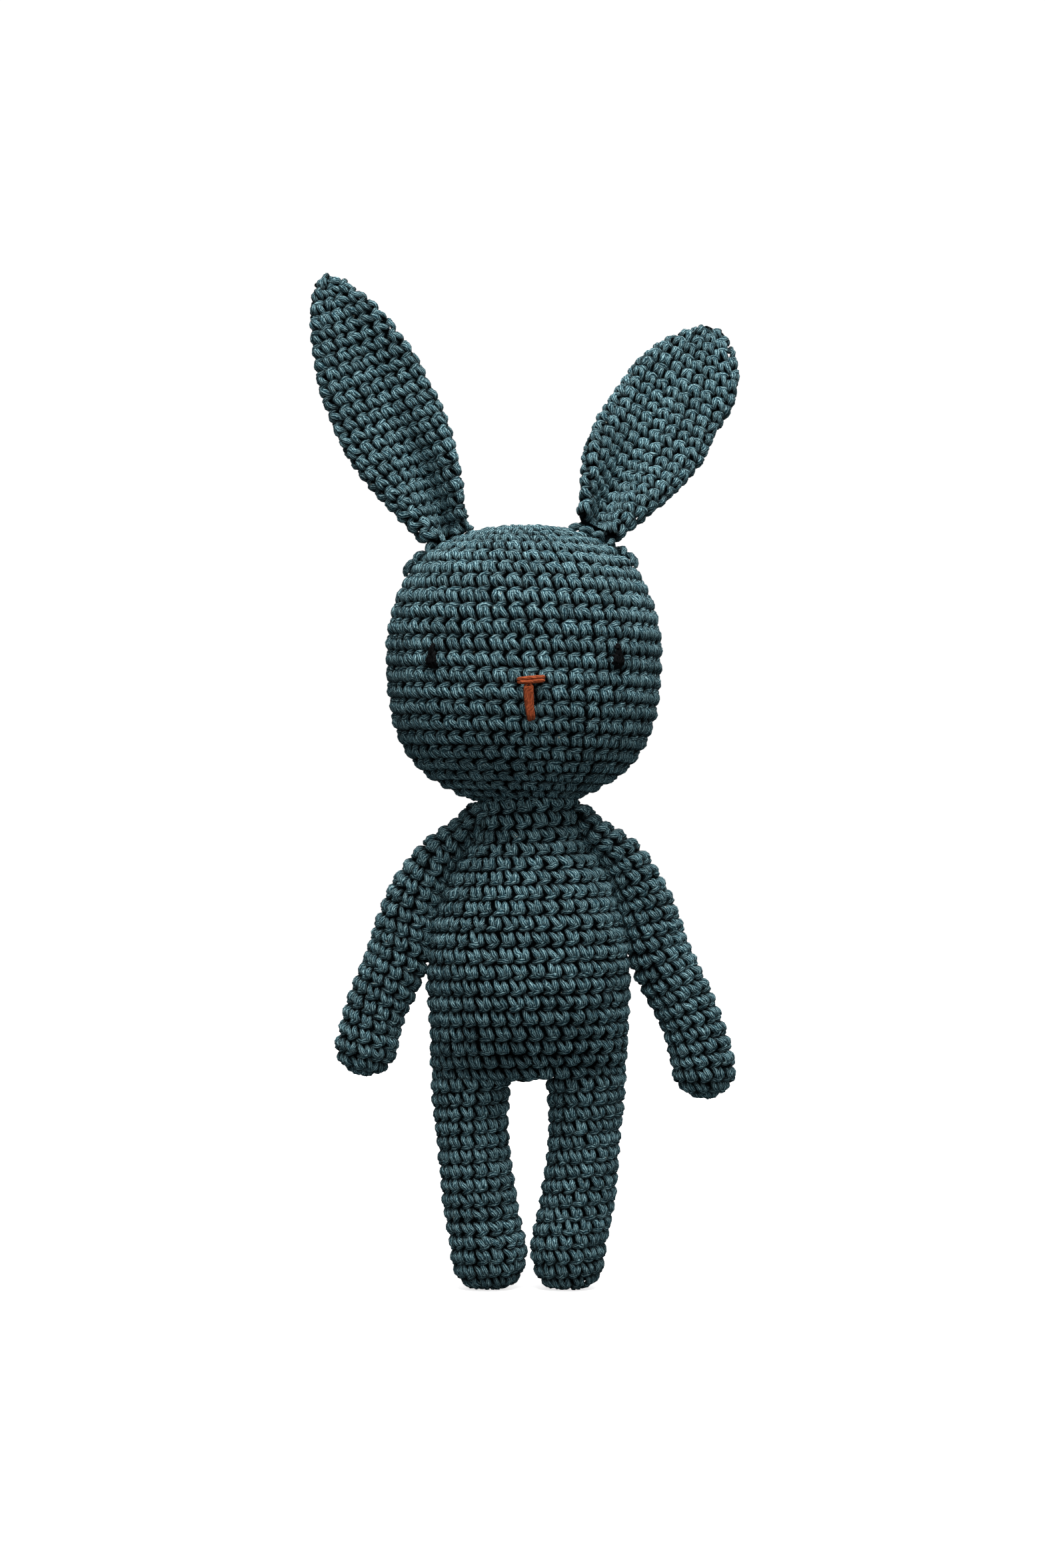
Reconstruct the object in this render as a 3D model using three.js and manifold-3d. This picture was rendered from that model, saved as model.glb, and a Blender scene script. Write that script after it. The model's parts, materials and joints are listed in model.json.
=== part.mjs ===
// A stuffed crocheted rabbit, as separate sewn-together pieces in millimetres.
// It stands upright: +Z is up, the face looks towards -Y, and the rabbit's own left is +X.
// The soft pieces are plain hollow covers with their filling inside, so each joint has room to move.
import * as THREE from "three";
import { ConvexGeometry } from "three/addons/geometries/ConvexGeometry.js";
import { mergeVertices } from "three/addons/utils/BufferGeometryUtils.js";
import Module from "manifold-3d";

const wasm = await Module();
wasm.setup();

// ---- Driving dimensions (mm, degrees) ----

const FABRIC = 2.4; // thickness of the crocheted fabric
const GAP = 0.4; // air between pieces that touch in the real toy
const YARN = 1.0; // radius of a drawn-in seam yarn

const BODY_X = 2.0; // the body's centre line, since ears and arms spread a little unevenly
const HEAD_X = 0.6; // the head sits slightly to the rabbit's right
const NECK_HEIGHT = 146;
const NECK_RADIUS = 14.6;
const NECK_X = 1.6;

const HEAD_WIDTH = 82.4;
const HEAD_DEPTH = 78;
const HEAD_HEIGHT = 82.6;
const HEAD_SQUARENESS = 2.5; // exponent of the outline: 2 is an ellipse

const CROTCH_HEIGHT = 63;
const HIP_HEIGHT = 66;
const HIP_SPREAD = 17.2; // from the body's centre line to each hip
const LEG_RADIUS = 12.2; // at the hip
const HIP_FORWARD = 75; // swing of the leg, degrees
const HIP_BACK = 20;

const SHOULDER_DROP = 8.2; // below the neck
const ARM_ROOT = 4.2; // half thickness of the flattened end that is sewn on
const ARM_RADIUS = 9.2;
const SHOULDER_OUT = NECK_RADIUS + ARM_ROOT + 1.6; // the root lies against the side of the neck

const EAR_ROOT = 4;
const EAR_HALF_WIDTH = 16.6;

// Body outline from crotch to neck: height, half width, half depth.
const BODY_OUTLINE = [
  [CROTCH_HEIGHT, 27.4, 11.5],
  [70, 29.4, 18.5],
  [79, 29.9, 24],
  [92, 30.3, 27.8],
  [106, 29.4, 27.6],
  [118, 26.2, 25],
  [128, 21.4, 20.8],
  [136, NECK_RADIUS + 1.8, NECK_RADIUS + 1.6],
  [140.6, NECK_RADIUS - 0.2, NECK_RADIUS - 0.2],
  [NECK_HEIGHT - 2.4, NECK_RADIUS - 0.4, NECK_RADIUS - 0.4],
];

// Leg outline from sole to hip: height, radius, distance of its centre from the body's centre line.
const LEG_OUTLINE = [
  [0, 4.8, 12],
  [2, 7.4, 12],
  [6, 10.3, 12],
  [13, 11.7, 12],
  [24, 11.4, 14.2],
  [38, 10.9, 16],
  [52, 11.2, HIP_SPREAD],
  [HIP_HEIGHT, LEG_RADIUS, HIP_SPREAD],
];

// Inner side of each arm: outwards and downwards from the shoulder. The centre line runs ARM_RADIUS further out.
const LEFT_ARM_LINE = [[0.2, 9], [6.9, 23], [11.6, 38], [17.6, 53], [22.2, 67], [24.4, 80.4]];
const RIGHT_ARM_LINE = [[0, 9.2], [6.9, 23], [11.2, 38], [15.8, 52], [18.7, 63], [20, 73.4]];

// Ear: where it stands on the head, how it leans outwards and backwards, and its length.
const LEFT_EAR = { side: 1, out: 22, lean: 27.5, back: 24, length: 74.5, width: 1.03 };
const RIGHT_EAR = { side: -1, out: 24, lean: 24.4, back: 0, length: 82.5, width: 0.98 };

// Ear outline as shares of its length and half width: along, half width, half thickness in mm.
const EAR_OUTLINE = [
  [0, 0.44, EAR_ROOT],
  [0.08, 0.58, 4.3],
  [0.2, 0.84, 4],
  [0.34, 0.97, 3.7],
  [0.48, 1, 3.5],
  [0.64, 0.93, 3.3],
  [0.8, 0.72, 3.1],
  [0.92, 0.45, 2.8],
  [0.98, 0.22, 2],
];

const EYE = { apart: 27.9, height: 190, width: 4.9, length: 7, thick: 1.2 };
// The nose: a level bar and an upright stem of flattened yarn, which stand a little proud of the fabric.
const NOSE = { x: 2.7, proud: 0.6, flatness: 0.6 };
const NOSE_BAR = { height: 182.6, length: 8.4, radius: 1 };
const NOSE_STEM = { height: 176, length: 10.4, radius: 1.45 };

// ---- Derived sizes ----

const HEAD_MIDDLE = NECK_HEIGHT + HEAD_HEIGHT / 2;
const NECK_SEAT = NECK_RADIUS + GAP;
const NECK_PIVOT = new THREE.Vector3(NECK_X, 0, NECK_HEIGHT);
const UP = new THREE.Vector3(0, 0, 1);

// ---- Materials ----

const greyYarn = cloth("grey_yarn", 0x50666a, 0.95);
const blackYarn = cloth("black_yarn", 0x0c0d0f, 0.85);
const rustYarn = cloth("rust_yarn", 0xb0603a, 0.9);
const fibreFill = cloth("fibre_fill", 0xe8e4da, 1);

function cloth(name, color, roughness) {
  const material = new THREE.MeshStandardMaterial({ color, roughness, metalness: 0 });
  material.name = name;
  return material;
}

// ---- Building blocks ----

function radians(degrees) {
  return (degrees * Math.PI) / 180;
}

// One ring of points round centre, on the axes across and deep; squareness 2 is an ellipse.
function ring(centre, across, deep, halfWidth, halfDepth, count, squareness = 2) {
  const points = [];
  for (let i = 0; i < count; i++) {
    const angle = (2 * Math.PI * i) / count;
    const c = Math.cos(angle);
    const s = Math.sin(angle);
    const u = Math.sign(c) * Math.abs(c) ** (2 / squareness) * halfWidth;
    const v = Math.sign(s) * Math.abs(s) ** (2 / squareness) * halfDepth;
    points.push(centre.clone().addScaledVector(across, u).addScaledVector(deep, v));
  }
  return points;
}

function levelRing(x, y, z, halfWidth, halfDepth, count, squareness = 2) {
  const across = new THREE.Vector3(1, 0, 0);
  const deep = new THREE.Vector3(0, 1, 0);
  return ring(new THREE.Vector3(x, y, z), across, deep, halfWidth, halfDepth, count, squareness);
}

// A closed skin over a row of rings, with a flat fan over each end.
function loft(rings) {
  const count = rings[0].length;
  const points = rings.flat();
  const faces = [];
  for (let row = 0; row + 1 < rings.length; row++) {
    for (let i = 0; i < count; i++) {
      const a = row * count + i;
      const b = row * count + ((i + 1) % count);
      faces.push(a, b, b + count, a, b + count, a + count);
    }
  }
  const last = points.length - count;
  points.push(middleOf(rings[0]), middleOf(rings[rings.length - 1]));
  for (let i = 0; i < count; i++) {
    const next = (i + 1) % count;
    faces.push(points.length - 2, next, i);
    faces.push(points.length - 1, last + i, last + next);
  }
  const geometry = new THREE.BufferGeometry().setFromPoints(points);
  geometry.setIndex(faces);
  return geometry;
}

function middleOf(points) {
  const sum = new THREE.Vector3();
  for (const point of points) sum.add(point);
  return sum.divideScalar(points.length);
}

// A smooth curve through rows of three sizes, such as height, half width and half depth.
function smooth(rows, steps) {
  const through = rows.map((row) => new THREE.Vector3(...row));
  return new THREE.CatmullRomCurve3(through, false, "centripetal").getSpacedPoints(steps);
}

function solid(geometry) {
  const bare = geometry.clone();
  bare.deleteAttribute("normal");
  bare.deleteAttribute("uv");
  const merged = mergeVertices(bare, 1e-4);
  const mesh = new wasm.Mesh({
    numProp: 3,
    vertProperties: new Float32Array(merged.attributes.position.array),
    triVerts: new Uint32Array(merged.index.array),
  });
  return new wasm.Manifold(mesh);
}

function piece(name, shape, material) {
  let geometry = shape;
  if (!shape.isBufferGeometry) {
    const mesh = shape.getMesh();
    geometry = new THREE.BufferGeometry();
    geometry.setAttribute("position", new THREE.BufferAttribute(mesh.vertProperties, 3));
    geometry.setIndex(new THREE.BufferAttribute(mesh.triVerts, 1));
  }
  geometry.computeVertexNormals();
  const mesh = new THREE.Mesh(geometry, material);
  mesh.name = name;
  return mesh;
}

function ball(centre, radius, around = 24) {
  const geometry = new THREE.SphereGeometry(radius, around, around / 2);
  return geometry.rotateX(Math.PI / 2).translate(centre.x, centre.y, centre.z);
}

// A round yarn along an open curve.
function yarnAlong(points, radius, steps) {
  const outline = new THREE.Shape().absarc(0, 0, radius, 0, 2 * Math.PI);
  const path = new THREE.CatmullRomCurve3(points);
  return new THREE.ExtrudeGeometry(outline, { steps, extrudePath: path, curveSegments: 3 });
}

// ---- Head ----

function headLoft(inset, around, rows) {
  const rings = [];
  for (let row = 0; row <= rows; row++) {
    const slope = radians(-84 + (168 * row) / rows);
    const rise = Math.sign(slope) * Math.abs(Math.sin(slope)) ** (2 / HEAD_SQUARENESS);
    const reach = Math.cos(slope) ** (2 / HEAD_SQUARENESS);
    const z = HEAD_MIDDLE + rise * (HEAD_HEIGHT / 2 - inset);
    rings.push(levelRing(HEAD_X, 0, z, reach * (HEAD_WIDTH / 2 - inset), reach * (HEAD_DEPTH / 2 - inset), around));
  }
  return loft(rings);
}

// The head's surface at a place in the frontal plane: the point on its front, or on its top rim for y = 0.
function headFrontAt(x, z) {
  const rise = Math.abs(z - HEAD_MIDDLE) / (HEAD_HEIGHT / 2);
  const reach = (1 - rise ** HEAD_SQUARENESS) ** (1 / HEAD_SQUARENESS);
  const across = (x - HEAD_X) / (HEAD_WIDTH / 2);
  return new THREE.Vector3(x, -Math.sqrt(reach ** 2 - across ** 2) * (HEAD_DEPTH / 2), z);
}

function headTopAt(x, y) {
  const reach = Math.hypot((x - HEAD_X) / (HEAD_WIDTH / 2), y / (HEAD_DEPTH / 2));
  const rise = (1 - reach ** HEAD_SQUARENESS) ** (1 / HEAD_SQUARENESS);
  return HEAD_MIDDLE + rise * (HEAD_HEIGHT / 2);
}

function makeHead() {
  const seat = solid(ball(NECK_PIVOT, NECK_SEAT + 0.1));
  const outside = solid(headLoft(0, 28, 14));
  const inside = solid(headLoft(FABRIC, 24, 11));
  const fill = solid(headLoft(FABRIC + 2 * GAP, 24, 11));
  const [barDent, stemDent] = noseYarns(GAP).map(solid);
  const cover = outside.subtract(inside).subtract(seat).subtract(barDent).subtract(stemDent);
  return [
    piece("head_cover", cover, greyYarn),
    piece("head_stuffing", fill.subtract(seat), fibreFill),
  ];
}

// An embroidered eye: a drop, narrow at the top, lying on the curve of the head.
function makeEye(name, side) {
  const x = HEAD_X + side * EYE.apart;
  const place = headFrontAt(x, EYE.height);
  const outward = new THREE.Vector3(
    (x - HEAD_X) / (HEAD_WIDTH / 2) ** 2, place.y / (HEAD_DEPTH / 2) ** 2, 0).normalize();
  const low = -EYE.length / 2 + EYE.width / 2;
  const drop = new THREE.Shape();
  drop.moveTo(0, EYE.length / 2);
  drop.quadraticCurveTo(-EYE.width / 2, EYE.length / 5, -EYE.width / 2, low);
  drop.absarc(0, low, EYE.width / 2, Math.PI, 2 * Math.PI);
  drop.quadraticCurveTo(EYE.width / 2, EYE.length / 5, 0, EYE.length / 2);
  const eye = piece(name, new THREE.ExtrudeGeometry(drop, {
    depth: EYE.thick, bevelEnabled: false, curveSegments: 6 }), blackYarn);
  eye.up.copy(UP);
  eye.position.copy(place).addScaledVector(outward, GAP);
  eye.lookAt(eye.position.clone().add(outward));
  return eye;
}

// The two nose yarns, half sunk in the fabric; spare widens them into the dents they press into it.
function noseYarns(spare) {
  const [bar, stem] = [NOSE_BAR, NOSE_STEM].map(({ radius, length }) =>
    new THREE.CapsuleGeometry(radius + spare, length - 2 * radius, 3, 10));
  bar.rotateZ(Math.PI / 2);
  stem.rotateX(Math.PI / 2);
  settle(bar, NOSE_BAR, spare);
  settle(stem, NOSE_STEM, spare);
  return [bar, stem];
}

// Flattens a yarn against the face and moves it to its height there.
function settle(yarn, { radius, height }, spare) {
  const depth = radius * NOSE.flatness;
  yarn.scale(1, (depth + spare) / (radius + spare), 1);
  yarn.translate(NOSE.x, headFrontAt(NOSE.x, height).y + depth - NOSE.proud, height);
}

function makeNose() {
  const [bar, stem] = noseYarns(0);
  return [piece("nose_bar", bar, rustYarn), piece("nose_stem", stem, rustYarn)];
}

// ---- Neck ----

function makeNeckSeam() {
  const reach = NECK_RADIUS - GAP - YARN;
  const height = NECK_HEIGHT - YARN;
  const round = new THREE.TorusGeometry(reach, YARN - 0.05, 6, 24);
  return piece("neck_seam", round.translate(NECK_X, 0, height), greyYarn);
}

// ---- Body ----

function bodyLoft(inset, around, rows, top) {
  const rings = smooth(BODY_OUTLINE, rows).map((row, i) => {
    const floor = CROTCH_HEIGHT + inset;
    const z = i === 0 ? floor : i === rows ? top : Math.max(row.x, floor + i * 0.2);
    const nearNeck = THREE.MathUtils.smoothstep(z, NECK_HEIGHT - 14, NECK_HEIGHT - 4);
    const x = THREE.MathUtils.lerp(BODY_X, NECK_X, nearNeck);
    return levelRing(x, 0, z, row.y - inset, row.z - inset, around, 2.15);
  });
  return loft(rings);
}

// Everything a leg sweeps through between its limits, with a little air round it.
function legRoom(side) {
  const hip = new THREE.Vector3(BODY_X + side * HIP_SPREAD, 0, HIP_HEIGHT);
  const reach = 40;
  const air = LEG_RADIUS + 0.75;
  const points = [];
  const spots = [hip];
  for (const swing of [-HIP_BACK, 0, 20, 40, 60, HIP_FORWARD]) {
    const way = new THREE.Vector3(0, -Math.sin(radians(swing)), -Math.cos(radians(swing)));
    spots.push(hip.clone().addScaledVector(way, reach));
  }
  for (const spot of spots) {
    const shell = ball(spot, air, 24).attributes.position;
    for (let i = 0; i < shell.count; i++) points.push(new THREE.Vector3().fromBufferAttribute(shell, i));
  }
  return solid(new ConvexGeometry(points));
}

function makeBody() {
  const rooms = legRoom(1).add(legRoom(-1));
  const rim = NECK_HEIGHT - 2.4;
  const outside = solid(bodyLoft(0, 28, 12, rim));
  const inside = solid(bodyLoft(FABRIC, 22, 10, rim + 1));
  const fill = solid(bodyLoft(FABRIC + 2 * GAP, 22, 10, rim + 0.6));
  const plug = solid(ball(NECK_PIVOT, NECK_RADIUS - 2 * YARN - 2 * GAP, 24));
  return [
    piece("body_cover", outside.subtract(inside).subtract(rooms), greyYarn),
    piece("body_stuffing", fill.add(plug).subtract(rooms), fibreFill),
  ];
}

// ---- Legs ----

function legLoft(side, inset, around, rows, domeTo) {
  const rings = smooth(LEG_OUTLINE, rows).map((row, i) => {
    const z = Math.max(row.x, inset + i * 0.3);
    return levelRing(BODY_X + side * row.z, 0, z, row.y - inset, row.y - inset, around);
  });
  const radius = LEG_RADIUS - inset;
  for (const slope of [domeTo / 3, (2 * domeTo) / 3, domeTo].map(radians)) {
    const reach = radius * Math.cos(slope);
    const z = HIP_HEIGHT + radius * Math.sin(slope);
    rings.push(levelRing(BODY_X + side * HIP_SPREAD, 0, z, reach, reach, around));
  }
  return loft(rings);
}

function makeLeg(name, side) {
  const outside = solid(legLoft(side, 0, 20, 10, 58));
  const inside = solid(legLoft(side, FABRIC, 16, 8, 86));
  const mouth = new THREE.Vector3(BODY_X + side * HIP_SPREAD, 0, HIP_HEIGHT + LEG_RADIUS);
  const open = solid(ball(mouth, LEG_RADIUS / 2, 16));
  return [
    piece(`leg_${name}_cover`, outside.subtract(inside).subtract(open), greyYarn),
    piece(`leg_${name}_stuffing`, legLoft(side, FABRIC + GAP, 16, 8, 50), fibreFill),
  ];
}

// ---- Arms ----

// Rings square to the arm's centre line, from a rounded flat root at the shoulder to the hand.
function armLoft(side, line, inset, around, rows, from) {
  const shoulder = new THREE.Vector3(BODY_X + side * SHOULDER_OUT, 0, NECK_HEIGHT - SHOULDER_DROP);
  const points = line.map(([out, down]) => (
    shoulder.clone().add(new THREE.Vector3(side * (out + ARM_RADIUS), 0, -down))));
  points.unshift(shoulder);
  const path = new THREE.CatmullRomCurve3(points);
  const length = path.getLength();
  const deep = new THREE.Vector3(0, side, 0);
  const rings = [];
  const add = (centre, way, halfThick, halfDeep) => {
    const across = deep.clone().cross(way).normalize();
    rings.push(ring(centre, across, deep, halfThick - inset, halfDeep - inset, around, 2.2));
  };
  const start = path.getTangentAt(0);
  if (from === 0) {
    for (const slope of [78, 45, 18].map(radians)) {
      const halfThick = Math.max(ARM_ROOT * Math.cos(slope), inset + 0.9);
      const centre = shoulder.clone().addScaledVector(start, -ARM_ROOT * Math.sin(slope) - inset);
      add(centre, start, halfThick, ARM_RADIUS - 1.4 * Math.sin(slope));
    }
  }
  for (let row = 0; row <= rows; row++) {
    const along = THREE.MathUtils.lerp(from, 1, (row / rows) ** 0.92);
    const s = Math.min(along * length, length - inset - 0.05);
    const grow = THREE.MathUtils.smoothstep(s, -14, 36);
    const halfThick = THREE.MathUtils.lerp(ARM_ROOT * 0.45, ARM_RADIUS, grow);
    const fromTip = Math.min((length - s) / ARM_RADIUS, 1);
    const round = Math.max(Math.sqrt(1 - (1 - fromTip) ** 2), 0.34);
    const thick = s < 0.01 ? ARM_ROOT : Math.max(halfThick, ARM_ROOT);
    const rowInset = Math.min(inset, thick * round - 0.9);
    const across = deep.clone().cross(path.getTangentAt(s / length)).normalize();
    rings.push(ring(path.getPointAt(s / length), across, deep,
      thick * round - rowInset, ARM_RADIUS * round - rowInset, around, 2.2));
  }
  return loft(rings);
}

function makeArm(name, side, line) {
  const outside = solid(armLoft(side, line, 0, 16, 12, 0));
  const inside = solid(armLoft(side, line, FABRIC, 12, 10, 0));
  return [
    piece(`arm_${name}_cover`, outside.subtract(inside), greyYarn),
    piece(`arm_${name}_stuffing`, armLoft(side, line, FABRIC + GAP, 12, 8, 0.24), fibreFill),
  ];
}

// Whip stitches that hold the flattened top of the arm against the side of the neck.
function makeArmSeam(name, side) {
  const reach = NECK_RADIUS + GAP + YARN + 0.1;
  const points = [];
  for (const angle of [-34, -17, 0, 17, 34].map(radians)) {
    points.push(new THREE.Vector3(
      NECK_X + side * reach * Math.cos(angle), reach * Math.sin(angle), NECK_HEIGHT - 4.4));
  }
  return piece(`arm_${name}_seam`, yarnAlong(points, YARN - 0.1, 8), greyYarn);
}

// ---- Ears ----

// The hinge of an ear lies along its base; the ear stands square to it.
function earFrame(ear) {
  const x = HEAD_X + ear.side * ear.out;
  const lean = radians(ear.lean) * ear.side;
  const along = new THREE.Vector3(Math.cos(lean), 0, -Math.sin(lean));
  const normal = new THREE.Vector3(Math.sin(lean), 0, Math.cos(lean));
  const base = new THREE.Vector3(x, 0, headTopAt(x, 0)).addScaledVector(normal, EAR_ROOT + GAP + 0.2);
  const back = radians(ear.back);
  const upward = normal.clone().multiplyScalar(Math.cos(back)).add(new THREE.Vector3(0, Math.sin(back), 0));
  return { base, along, normal, upward, deep: upward.clone().cross(along) };
}

function earLoft(ear, inset, around, rows) {
  const { base, along, upward, deep } = earFrame(ear);
  const rings = [];
  for (const slope of [78, 40].map(radians)) {
    const centre = base.clone().addScaledVector(upward, -EAR_ROOT * Math.sin(slope) - inset);
    const half = Math.max(EAR_ROOT * Math.cos(slope) - inset, 0.8);
    rings.push(ring(centre, along, deep, EAR_OUTLINE[0][1] * EAR_HALF_WIDTH * ear.width - 0.7 - inset,
      half, around, 2.3));
  }
  for (const row of smooth(EAR_OUTLINE.map(([a, w, t]) => [a * 100, w * 100, t]), rows)) {
    const halfWidth = (row.y / 100) * EAR_HALF_WIDTH * ear.width;
    const height = Math.min((row.x / 100) * ear.length, ear.length - 2 * inset);
    const rowInset = Math.min(inset, row.z - 0.7);
    rings.push(ring(base.clone().addScaledVector(upward, height + rings.length * 0.01),
      along, deep, Math.max(halfWidth - rowInset, 1), row.z - rowInset, around, 2.3));
  }
  return loft(rings);
}

// An ear is an unstuffed pocket of two layers, open at its base.
function makeEar(name, ear) {
  const outside = solid(earLoft(ear, 0, 16, 10));
  const inside = solid(earLoft(ear, FABRIC + 0.2, 12, 8));
  return piece(`ear_${name}`, outside.subtract(inside), greyYarn);
}

function makeEarSeam(name, ear) {
  const { base, along } = earFrame(ear);
  const points = [];
  for (let i = 0; i <= 12; i++) {
    const angle = radians(97 + (346 * i) / 12);
    const spot = base.clone().addScaledVector(along, 10.1 * Math.cos(angle));
    spot.y += 6.8 * Math.sin(angle);
    spot.z = headTopAt(spot.x, spot.y) + 1.3 * (YARN + GAP);
    points.push(spot);
  }
  return piece(`ear_${name}_seam`, yarnAlong(points, YARN - 0.1, 16), greyYarn);
}

// ---- Assembly ----

const rabbit = new THREE.Group();
rabbit.name = "crocheted_rabbit";
rabbit.add(...makeHead(), makeEye("eye_left", 1), makeEye("eye_right", -1), ...makeNose());
rabbit.add(makeNeckSeam(), ...makeBody());
rabbit.add(...makeLeg("left", 1), ...makeLeg("right", -1));
rabbit.add(...makeArm("left", 1, LEFT_ARM_LINE), ...makeArm("right", -1, RIGHT_ARM_LINE));
rabbit.add(makeArmSeam("left", 1), makeArmSeam("right", -1));
rabbit.add(makeEar("left", LEFT_EAR), makeEar("right", RIGHT_EAR));
rabbit.add(makeEarSeam("left", LEFT_EAR), makeEarSeam("right", RIGHT_EAR));

export default rabbit;
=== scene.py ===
import json
import math

import bpy
import numpy as np
from bpy.props import FloatProperty, FloatVectorProperty, IntProperty, PointerProperty
from mathutils import Matrix, Vector

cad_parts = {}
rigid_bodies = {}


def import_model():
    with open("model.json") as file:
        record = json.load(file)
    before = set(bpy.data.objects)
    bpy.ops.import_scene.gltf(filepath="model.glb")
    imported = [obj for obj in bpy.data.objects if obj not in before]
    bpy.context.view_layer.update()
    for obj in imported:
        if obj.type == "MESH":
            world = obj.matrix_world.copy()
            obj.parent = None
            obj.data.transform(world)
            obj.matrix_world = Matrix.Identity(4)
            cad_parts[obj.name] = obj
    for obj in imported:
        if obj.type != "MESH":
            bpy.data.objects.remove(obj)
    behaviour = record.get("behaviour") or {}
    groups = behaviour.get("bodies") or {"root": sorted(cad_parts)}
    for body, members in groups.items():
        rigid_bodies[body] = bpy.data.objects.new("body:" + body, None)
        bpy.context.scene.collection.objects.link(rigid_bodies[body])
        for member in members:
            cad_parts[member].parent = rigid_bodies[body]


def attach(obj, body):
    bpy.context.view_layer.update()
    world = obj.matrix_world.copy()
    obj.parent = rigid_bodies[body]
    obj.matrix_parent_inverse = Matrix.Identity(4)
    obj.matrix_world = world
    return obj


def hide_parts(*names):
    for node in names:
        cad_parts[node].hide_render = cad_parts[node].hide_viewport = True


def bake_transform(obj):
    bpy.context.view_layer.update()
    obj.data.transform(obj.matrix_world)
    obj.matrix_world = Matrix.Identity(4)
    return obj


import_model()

bl_info = {
    "name": "Crocheted Rabbit",
    "version": (1, 0, 0),
    "blender": (4, 5, 0),
    "location": "View3D > Sidebar > Rabbit",
    "description": "Builds a stuffed crocheted rabbit, stitch by stitch, around its jointed frame",
    "category": "Object",
}

MM = 0.001
LEFT, RIGHT = 1, -1  # the rabbit's own left is +X

# ---- Colours ----


def linear(hex_colour, alpha=1.0):
    """An sRGB hex colour as the linear values that Blender's materials take."""
    values = [int(hex_colour[i : i + 2], 16) / 255 for i in (1, 3, 5)]
    return tuple(v / 12.92 if v <= 0.04045 else ((v + 0.055) / 1.055) ** 2.4 for v in values) + (alpha,)


# ---- Sizes and colours a user can change ----


def length(name, description, millimetres):
    return FloatProperty(name=name, description=description, default=millimetres * MM, unit="LENGTH", precision=5)


def colour(name, description, hex_colour):
    return FloatVectorProperty(
        name=name, description=description, default=linear(hex_colour), subtype="COLOR", size=4, min=0, max=1
    )


class RabbitSizes(bpy.types.PropertyGroup):
    head_width: length("Head width", "Width of the stuffed head", 82.4)
    head_depth: length("Head depth", "Depth of the head from face to back", 78)
    head_height: length("Head height", "Height of the head from neck to crown", 82.6)
    neck_height: length("Neck height", "Height of the neck above the soles", 146)
    neck_radius: length("Neck radius", "Radius of the seam round the neck", 14.4)
    crotch_height: length("Crotch height", "Height of the crotch above the soles", 63)
    shoulder_out: length("Shoulder out", "Distance from the centre line to each arm's hinge", 20.4)
    shoulder_drop: length("Shoulder drop", "How far the arms' hinges lie below the neck", 8.2)
    arm_radius: length("Arm radius", "Radius of the stuffed part of the arm", 9.2)
    ear_half_width: length("Ear half width", "Half the ear's width at its widest", 16.6)
    stitch_width: length("Stitch width", "Width of one single crochet", 4.75)
    round_height: length("Round height", "Height of one round of single crochet", 4.7)
    yarn_radius: length("Yarn radius", "Radius of the plied yarn", 1.05)
    fabric_depth: length("Fabric depth", "How far the stitches' middle lies inside the outline", 1.3)
    # The sheet of painted shade lies this far under the stitches' middle.
    painted_shade_sheet_depth: length("Lining depth", "How far the shaded inside lies under the stitches' middle", 1.0)
    jitter: FloatProperty(name="Jitter", description="How far stitches turn out of line", default=0.17, subtype="ANGLE")
    seed: IntProperty(name="Seed", description="Picks one of many hand-made variations", default=7)


class RabbitColours(bpy.types.PropertyGroup):
    # The lit ply colours are the lightest fibres together with a painted highlight on the plies' crowns; the groove
    # colours are painted shade between the plies.
    yarn_fibre_and_painted_highlight: colour("Yarn, lit ply", "Lightest fibres of the slate yarn", "#90B1B6")
    yarn_mid: colour("Yarn", "Main colour of the slate yarn", "#284953")
    yarn_painted_groove_shade: colour("Yarn, groove", "Shade between the plies", "#03121A")
    # Painted shade: the near-black sheet under the stitches stands for the shade in the gaps between them.
    painted_shade_sheet: colour("Lining", "Painted shade between the stitches, on a dark sheet under them", "#040B0E")
    eye: colour("Eye yarn", "Black embroidery yarn", "#030405")
    nose: colour("Nose yarn", "Rust embroidery yarn", "#94482A")
    nose_painted_groove_shade: colour("Nose yarn, groove", "Shade between the plies of the rust yarn", "#4A1F10")
    floor: colour("Floor", "Plain studio floor", "#F4F4F4")


def sizes():
    return bpy.context.scene.rabbit_sizes


def colours():
    return bpy.context.scene.rabbit_colours


# ---- Outlines, in millimetres ----

# Centre lines of body, head and neck, from the middle of the part's frame.
BODY_X = 2.0
HEAD_X = 0.6
NECK_X = 1.6

# 2 is round, more is squarer.
HEAD_SQUARENESS = 2.5
BODY_SQUARENESS = 2.15
ARM_SQUARENESS = 2.15

HEAD_SAG = 0.8  # how far the stuffed head sinks round its neck

# Body from crotch to neck: height, half width, half depth.
BODY_OUTLINE = [
    (63, 28.6, 12.2),
    (70, 29.6, 18.5),
    (79, 30, 24),
    (92, 30.4, 27.8),
    (106, 29.5, 27.6),
    (118, 26.4, 25),
    (128, 21.6, 20.8),
    (136, 16.6, 16.4),
    (141, 15.4, 15),
    (148, 15.4, 15),
]

# Leg from sole to hip: height, radius, distance of its centre from the body's centre line.
LEG_OUTLINE = [
    (0.4, 1.2, 12),
    (0.6, 5.2, 12),
    (2.4, 8.2, 12),
    (6.4, 10.6, 12),
    (13, 11.7, 12),
    (24, 11.4, 14.2),
    (38, 10.9, 16),
    (52, 11.2, 17.2),
    (66, 12.2, 17.2),
]

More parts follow.
